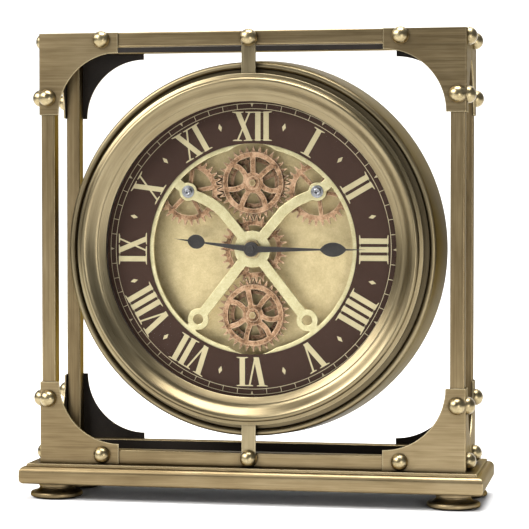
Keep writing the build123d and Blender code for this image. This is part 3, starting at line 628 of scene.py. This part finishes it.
pad_outline = band(ON_AXIS, PAD_RADIUS, 0.0, PAD_TOP)
turned("foot_pads", "_turned", pad_outline, foot_places, "z", rubber, corner=0.3, turns=64)

# Dome bolts on brackets and straps: a short rim that sinks into the plate, and a curve just inside it
DOME_RADIUS, DOME_TURNS = 6.1, 40
DOME_SINK, DOME_RIM = 0.2, 0.5
CURVE_START, CURVE_SHARE = 0.6, 0.985
dome_outline = [(ON_AXIS, -DOME_SINK), (DOME_RADIUS, -DOME_SINK), (DOME_RADIUS, DOME_RIM)]
for angle in range(6, 90, 7):
    turn = radians(angle)
    height = CURVE_START + (DOME_RADIUS - CURVE_START) * sin(turn)
    dome_outline.append((DOME_RADIUS * cos(turn) * CURVE_SHARE, height))
dome_outline.append((ON_AXIS, DOME_RADIUS))


def dome(place, direction):
    """Dome standing on a place, facing a direction along X or Y."""
    axis = "x" if direction[0] else "y"
    sign = direction[0] or direction[1]
    return lathe([(radius, sign * height) for radius, height in dome_outline], place, axis, DOME_TURNS)


# How far bolts stand from a bracket's corner along its arms, and from its face along the rail
BOLT_RUN, RAIL_BOLT_DEPTH = 45.5, 14.0
# Gap between the lowest domes and the plinth
BOLT_LIFT = 0.2
tube_middle = TUBE / 2
end_levels = {-1: FRAME_BOTTOM, 1: FRAME_TOP}
bolt_levels = {-1: FRAME_BOTTOM + DOME_RADIUS + BOLT_LIFT, 1: FRAME_TOP - tube_middle}
domes = []
for x_sign in (-1, 1):
    for y_sign in (-1, 1):
        for z_sign in (-1, 1):
            side_x, face_y = x_sign * BRACKET_SIDE, y_sign * BRACKET_FACE
            post_x, post_y = x_sign * (HALF_WIDTH - tube_middle), y_sign * (HALF_DEPTH - tube_middle)
            bar_z, run_z = bolt_levels[z_sign], end_levels[z_sign] - z_sign * BOLT_RUN
            domes.append(dome((side_x - x_sign * BOLT_RUN, face_y, bar_z), (0, y_sign)))
            domes.append(dome((post_x, face_y, run_z), (0, y_sign)))
            domes.append(dome((side_x, post_y, run_z), (x_sign, 0)))
            domes.append(dome((side_x, face_y - y_sign * RAIL_BOLT_DEPTH, bar_z), (x_sign, 0)))
for z_sign in (-1, 1):
    domes.append(dome((0, STRAP_FRONT, bolt_levels[z_sign]), (0, -1)))
dome_mesh = mesh_from("dome_bolts_turned", *merged(domes), TURNED_ANGLE)
link_piece("dome_bolts_turned", dome_mesh, brass_bolt, "clock", ("dome_bolts",))

# Case drum: the neck that holds the bezel, a bead, the flared wall with its rear flange, and the dial's seat
CASE_WALL = 1.2
NECK_RADIUS, NECK_LENGTH = 119.6, 8.9
BEAD_MIDDLE, BEAD_RADIUS = 128.0, 2.6
FLANGE_WIDTH = 8.0
SEAT_RADIUS = 108.6
shoulder = DRUM_FRONT + NECK_LENGTH
bead_inner, bead_outer = BEAD_MIDDLE - BEAD_RADIUS, BEAD_MIDDLE + BEAD_RADIUS
flange_inner = DRUM_RADIUS - FLANGE_WIDTH
neck_inside = NECK_RADIUS - CASE_WALL
drum_outline = [
    (NECK_RADIUS, DRUM_FRONT), (NECK_RADIUS, shoulder), (bead_inner, shoulder),
    *arc((bead_inner, shoulder), (BEAD_MIDDLE, shoulder - BEAD_RADIUS), (bead_outer, shoulder)),
    (DRUM_RADIUS, DRUM_BACK), (flange_inner, DRUM_BACK), (flange_inner, DRUM_BACK - CASE_WALL),
    (DRUM_RADIUS - CASE_WALL, DRUM_BACK - CASE_WALL), (bead_outer - CASE_WALL, shoulder + CASE_WALL),
    (NECK_RADIUS, shoulder + CASE_WALL), (NECK_RADIUS, DIAL_BACK + CASE_WALL),
    (SEAT_RADIUS, DIAL_BACK + CASE_WALL), (SEAT_RADIUS, DIAL_BACK),
    (neck_inside, DIAL_BACK), (neck_inside, DRUM_FRONT),
]
turned("case_drum", "_turned", drum_outline, [dial_centre], "y", brass_drum, corner=0.35)

# Bezel: a lip over the glass, a sweep up to a rolled crown, a thin rim outside, and its hollow back
LIP_RADIUS, LIP_THICK = 103.0, 0.8
SWEEP_RADIUS, SWEEP_LIFT = 107.6, 4.0
CROWN_INNER, CROWN_OUTER, CROWN_DEPTH = 117.4, 119.5, 4.6
RIM_DEPTH, RIM_THICK = 5.6, 1.5
GLASS_CLEARANCE, SKIRT_CLEARANCE = 0.2, 0.15
REBATE_WALL = 1.4
rim_front = BEZEL_FRONT + RIM_DEPTH
rim_back = rim_front + RIM_THICK
skirt = NECK_RADIUS + SKIRT_CLEARANCE
rebate = GLASS_RADIUS + GLASS_CLEARANCE
bezel_outline = [
    (LIP_RADIUS, GLASS_FRONT), (LIP_RADIUS, GLASS_FRONT - LIP_THICK),
    *ogee((SWEEP_RADIUS, GLASS_FRONT - SWEEP_LIFT), (CROWN_INNER, BEZEL_FRONT)),
    *arc((CROWN_INNER, BEZEL_FRONT), (119.05, BEZEL_FRONT + 1.1), (CROWN_OUTER, BEZEL_FRONT + 3.2), 12),
    (CROWN_OUTER, BEZEL_FRONT + CROWN_DEPTH), (BEZEL_RADIUS, rim_front), (BEZEL_RADIUS, rim_back),
    (skirt, rim_back), (skirt, DRUM_FRONT), (neck_inside, DRUM_FRONT),
    (CROWN_INNER, BEZEL_FRONT + 1.6), (116.4, BEZEL_FRONT + 3.0), (109.6, GLASS_FRONT - 2.2),
    (rebate + REBATE_WALL, GLASS_BACK), (rebate, GLASS_BACK), (rebate, GLASS_FRONT),
]
turned("bezel", "_turned", bezel_outline, [dial_centre], "y", brass_bezel, corner=0.3)

# Glass, spacer ring and dial ring
SPACER_WALL = 2.0
DIAL_HOLE = 74.0
glass_outline = band(ON_AXIS, GLASS_RADIUS, GLASS_FRONT, GLASS_BACK)
glass = turned("glass", "_disc", glass_outline, [dial_centre], "y", glass_clear, corner=0.3)
glass.visible_shadow = False
glass.visible_diffuse = False
glass.visible_glossy = False
spacer_outline = band(GLASS_RADIUS - SPACER_WALL, GLASS_RADIUS, GLASS_BACK, DIAL_FRONT)
turned("spacer_ring", "_turned", spacer_outline, [dial_centre], "y", dark_paint, corner=0.2)
dial_outline = band(DIAL_HOLE, DIAL_RADIUS, DIAL_FRONT, DIAL_BACK)
turned("dial_ring", "_turned", dial_outline, [dial_centre], "y", dial_brown, corner=0.15)

# Dial print: numerals, minute track and diamonds, as thin raised shapes
HOURS, MINUTES = 12, 60
HOUR_TURN, MINUTE_TURN = 2 * pi / HOURS, 2 * pi / MINUTES


def on_dial(radius, turn):
    """Point of the dial at a radius and a turn clockwise from the top, in radians."""
    return radius * sin(turn), CENTRE_Z + radius * cos(turn)


def raised(outline, rise):
    """Vertices and faces of a flat shape standing on the dial, from points across and up."""
    count = len(outline)
    vertices = [(x, level, z) for level in (DIAL_FRONT - rise, DIAL_FRONT) for x, z in outline]
    faces = [tuple(range(count)), tuple(range(2 * count - 1, count - 1, -1))]
    faces += [(i, (i + 1) % count, count + (i + 1) % count, count + i) for i in range(count)]
    return vertices, faces


def print_piece(name, shapes, material):
    """Piece of the dial's print, made of raised shapes."""
    link_piece(name, mesh_from(name, *merged(shapes), PRINT_ANGLE), material, "clock", ())


NUMERAL_FOOT = 75.8
NUMERAL_TALL = 20.4
NUMERALS = ("XII", "I", "II", "III", "IIII", "V", "VI", "VII", "VIII", "IX", "X", "XI")
# Shares of the numeral's height: half widths of strokes, a serif's tip, the advance of each letter,
# where the strokes of V and X end beside its middle, and the half widths of the serifs
THICK, THIN, SERIF_TIP = 0.092, 0.030, 0.022
ADVANCE = {"I": 0.29, "V": 0.68, "X": 0.70}
V_THICK_HEAD, V_THIN_FOOT, V_THIN_HEAD = -0.215, 0.03, 0.235
X_THICK_REACH, X_THIN_REACH = 0.205, 0.215
I_SERIF = 0.20
V_WIDE_SERIF, V_NARROW_SERIF = 0.19, 0.13
X_WIDE_SERIF, X_NARROW_SERIF = 0.20, 0.16
# Share of a serif's width that has its full thickness
SERIF_TOP = 0.55
# Rises above the dial, which differ where the strokes of a letter cross
THICK_RISE, THIN_RISE, WIDE_RISE, NARROW_RISE = 0.20, 0.19, 0.17, 0.16


def stroke(foot, head, half):
    """Slanted stroke over the whole height, cut level at its ends."""
    return [(foot - half, 0.0), (foot + half, 0.0), (head + half, 1.0), (head - half, 1.0)]


def thick(foot, head):
    """Thick stroke from its foot to its head, with its rise."""
    return stroke(foot, head, THICK), THICK_RISE


def thin(foot, head):
    """Thin stroke from its foot to its head, with its rise."""
    return stroke(foot, head, THIN), THIN_RISE


def serif(middle, half, level, rise=WIDE_RISE):
    """Level bar across the end of a stroke, with ends that taper, and its rise."""
    inward = SERIF_TIP if level < 0.5 else -SERIF_TIP
    top, tip = level + inward * 2, level + inward
    outline = [
        (middle - half, level), (middle + half, level), (middle + half, tip),
        (middle + half * SERIF_TOP, top), (middle - half * SERIF_TOP, top), (middle - half, tip),
    ]
    return outline, rise


def letter(kind):
    """Strokes and serifs of one letter about its middle, with their rises, in shares of its height."""
    if kind == "I":
        return [thick(0, 0), serif(0, I_SERIF, 0.0), serif(0, I_SERIF, 1.0)]
    if kind == "V":
        return [
            thick(0, V_THICK_HEAD), thin(V_THIN_FOOT, V_THIN_HEAD),
            serif(V_THICK_HEAD, V_WIDE_SERIF, 1.0), serif(V_THIN_HEAD, V_NARROW_SERIF, 1.0, NARROW_RISE),
        ]
    return [
        thick(X_THICK_REACH, -X_THICK_REACH), thin(-X_THIN_REACH, X_THIN_REACH),
        serif(-X_THICK_REACH, X_WIDE_SERIF, 1.0), serif(X_THIN_REACH, X_NARROW_SERIF, 1.0, NARROW_RISE),
        serif(X_THICK_REACH, X_WIDE_SERIF, 0.0), serif(-X_THIN_REACH, X_NARROW_SERIF, 0.0, NARROW_RISE),
    ]


def numeral(hour):
    """Shapes of one straight numeral, its feet to the dial's middle, turned to its hour as a whole."""
    word = NUMERALS[hour]
    place = -sum(ADVANCE[kind] for kind in word) / 2
    shapes = []
    for kind in word:
        middle = place + ADVANCE[kind] / 2
        place += ADVANCE[kind]
        for outline, rise in letter(kind):
            points = []
            for across, up in outline:
                aside, radial = (middle + across) * NUMERAL_TALL, NUMERAL_FOOT + up * NUMERAL_TALL
                points.append(on_dial(hypot(aside, radial), hour * HOUR_TURN + atan2(aside, radial)))
            shapes.append(raised(points, rise))
    return shapes


print_piece("hour_numerals", [shape for hour in range(HOURS) for shape in numeral(hour)], ink_gold)

TRACK_INNER, TRACK_OUTER = 98.2, 102.0
LINE_HALF, LINE_RISE, LINE_TURNS = 0.2, 0.06, 240
TICK_HALF, TICK_RISE = 0.22, 0.07
WEDGE_HALF, WEDGE_GAP, WEDGE_RISE = 1.0, 1.2, 0.08


def track_line(radius):
    """Thin raised ring on the dial."""
    inner, outer, front = radius - LINE_HALF, radius + LINE_HALF, DIAL_FRONT - LINE_RISE
    outline = [(inner, DIAL_FRONT), (inner, front), (outer, front), (outer, DIAL_FRONT)]
    return lathe(outline, dial_centre, "y", LINE_TURNS)


def minute_tick(turn):
    """Radial bar across the track."""
    spread = [
        (TRACK_INNER, -TICK_HALF), (TRACK_INNER, TICK_HALF),
        (TRACK_OUTER, TICK_HALF), (TRACK_OUTER, -TICK_HALF),
    ]
    return raised([on_dial(radius, turn + across / radius) for radius, across in spread], TICK_RISE)


def five_minute_wedge(turn):
    """Wedge that points inward from the track's outer line."""
    spread = WEDGE_HALF / TRACK_OUTER
    outline = [
        on_dial(TRACK_OUTER, turn - spread), on_dial(TRACK_OUTER, turn + spread),
        on_dial(TRACK_INNER + WEDGE_GAP, turn),
    ]
    return raised(outline, WEDGE_RISE)


track = [track_line(TRACK_INNER), track_line(TRACK_OUTER)]
for minute in range(MINUTES):
    mark = minute_tick if minute % 5 else five_minute_wedge
    track.append(mark(minute * MINUTE_TURN))
print_piece("minute_track", track, ink_dim)

DIAMOND_MIDDLE, DIAMOND_RISE = 88.0, 0.12
DIAMOND_HALF_TALL, DIAMOND_HALF_WIDE = 2.8, 1.35


def diamond(turn):
    """Small diamond between two numerals, its long way along the radius."""
    spread = DIAMOND_HALF_WIDE / DIAMOND_MIDDLE
    outline = [
        on_dial(DIAMOND_MIDDLE - DIAMOND_HALF_TALL, turn), on_dial(DIAMOND_MIDDLE, turn + spread),
        on_dial(DIAMOND_MIDDLE + DIAMOND_HALF_TALL, turn), on_dial(DIAMOND_MIDDLE, turn - spread),
    ]
    return raised(outline, DIAMOND_RISE)


diamonds = [diamond((hour + 0.5) * HOUR_TURN) for hour in range(HOURS)]
print_piece("half_hour_diamonds", diamonds, ink_gold)

# Skeleton plate, back plate, wheels and hands
dressed("skeleton_plate", champagne, width=0.35, segments=3)
dressed("back_plate", olive_plate, width=0.2)
dressed("dial_pillars", steel, width=0.2)
dressed("gear_studs", steel, width=0.2)
dressed("stud_nuts", gold_nut, width=0.2)
for wheel in ("upper_gear", "lower_gear", "left_gear", "right_gear", "centre_wheel", "motor_pinion"):
    dressed(wheel, copper, width=0.18, body=wheel)
for hand in ("minute_hand", "hour_hand"):
    dressed(hand, hand_black, width=0.25, body=hand)
dressed("hand_nut", gold_nut, width=0.3)

# Arm screws with a socket and a washer, in front of the side wheels, by radius and height above the arm
SOCKET_FLOOR, SOCKET_RADIUS = 0.9, 1.15
HEAD_TOP_RADIUS, HEAD_RADIUS = 1.75, 2.7
WASHER_THICK, WASHER_RADIUS = 0.65, 4.4
screw_tall = ARM_FRONT - SCREW_FRONT
screw_shape = [
    (ON_AXIS, SOCKET_FLOOR), (SOCKET_RADIUS, 1.1), (1.3, 1.95), (HEAD_TOP_RADIUS, screw_tall),
    *arc((HEAD_TOP_RADIUS, screw_tall), (2.5, 1.8), (HEAD_RADIUS, 1.0), 8),
    (HEAD_RADIUS, WASHER_THICK), (4.2, 0.55), (WASHER_RADIUS, 0.3), (WASHER_RADIUS, 0.0), (ON_AXIS, 0.0),
]
screw_outline = [(radius, ARM_FRONT - height) for radius, height in screw_shape]
screw_places = [joint_places["left_gear_spin"], joint_places["right_gear_spin"]]
turned("arm_screws", "_turned", screw_outline, screw_places, "y", steel, corner=0.12, turns=48)

# Movement, gear motor, battery box and rear cover
for node in ("movement_case", "gear_motor", "battery_box"):
    dressed(node, plastic, width=0.5)
dressed("setting_knob", plastic, width=0.3, body="setting_knob")
dressed("aa_cells", cell_paint, width=0.3)
dressed("rear_cover", dark_paint, width=0.3)
dressed("cover_screws", steel, width=0.3)

# Floor that sweeps up behind, lights and camera, in metres
FLOOR_FRONT, FLOOR_HALF = -4.0, 5.0
WALL_START, WALL_ROUND, WALL_TOP = 2.2, 1.2, 4.0


def backdrop():
    """Pale floor that turns up into a wall behind the clock."""
    profile = [(FLOOR_FRONT, 0.0), (WALL_START, 0.0)]
    for angle in range(10, 91, 10):
        turn = radians(angle)
        profile.append((WALL_START + WALL_ROUND * sin(turn), WALL_ROUND - WALL_ROUND * cos(turn)))
    profile.append((WALL_START + WALL_ROUND, WALL_TOP))
    vertices = [(x, y, z) for y, z in profile for x in (-FLOOR_HALF, FLOOR_HALF)]
    faces = [(2 * i, 2 * i + 1, 2 * i + 3, 2 * i + 2) for i in range(len(profile) - 1)]
    mesh = bpy.data.meshes.new("studio_floor")
    mesh.from_pydata(vertices, [], faces)
    mesh.shade_smooth()
    made = Nodes("studio_paper")
    grain = made.noise(made.object_coordinates(), scale=30.0)
    made.colour(made.ramp(grain, ((0.3, (0.86, 0.86, 0.86)), (0.7, (0.89, 0.89, 0.89)))))
    made.set(Roughness=0.9, Specular_IOR_Level=0.2)
    floor = bpy.data.objects.new("studio_floor", mesh)
    bpy.context.scene.collection.objects.link(floor)
    mesh.materials.append(made.material)


def area_light(name, place, aim, size, power):
    """Soft box at a place, turned to an aim."""
    light = bpy.data.lights.new(name, "AREA")
    light.shape = "RECTANGLE"
    light.size, light.size_y = size
    light.energy = power
    made = bpy.data.objects.new(name, light)
    bpy.context.scene.collection.objects.link(made)
    made.location = place
    made.rotation_euler = (Vector(aim) - Vector(place)).to_track_quat("-Z", "Y").to_euler()


def camera(azimuth, elevation, distance, aim, lens):
    """Camera on a sphere about an aim: azimuth from the front to the right, elevation up, in degrees."""
    turn, rise = radians(azimuth), radians(elevation)
    place = Vector(aim) + Vector((sin(turn) * cos(rise), -cos(turn) * cos(rise), sin(rise))) * distance
    data = bpy.data.cameras.new("camera")
    data.lens = lens
    data.sensor_width = 36.0
    data.clip_end = 50.0
    made = bpy.data.objects.new("camera", data)
    bpy.context.scene.collection.objects.link(made)
    made.location = place
    made.rotation_euler = (Vector(aim) - place).to_track_quat("-Z", "Y").to_euler()
    bpy.context.scene.camera = made


def studio_world(colour, strength):
    """Even light from all sides."""
    world = bpy.data.worlds.new("studio")
    world.use_nodes = True
    background = world.node_tree.nodes["Background"]
    background.inputs["Color"].default_value = (*colour, 1.0)
    background.inputs["Strength"].default_value = strength
    bpy.context.scene.world = world


backdrop()
middle = (0.0, 0.0, 0.17)
area_light("key_left", (-1.5, -1.5, 1.7), middle, size=(1.1, 1.1), power=62.0)
area_light("glint_left", (-1.0, -1.7, 0.75), middle, size=(0.35, 0.35), power=1.8)
area_light("side_left", (-1.6, -0.35, 1.25), middle, size=(0.9, 0.9), power=16.0)
area_light("fill_right", (0.6, -0.95, 0.12), (0.15, 0.0, 0.05), size=(0.3, 0.4), power=2.6)
area_light("top", (0.1, -0.2, 1.9), (0.1, -0.1, 0.0), size=(1.2, 0.9), power=56.0)
area_light("back_wash", (0.0, 1.2, 2.2), (0.0, 3.0, 0.6), size=(2.4, 1.0), power=90.0)
studio_world(colour=(0.92, 0.95, 1.0), strength=0.20)
bpy.context.scene.view_settings.view_transform = "Standard"
camera(azimuth=10.87, elevation=1.77, distance=1.446, aim=(0.004, 0.0, 0.166), lens=138.0)
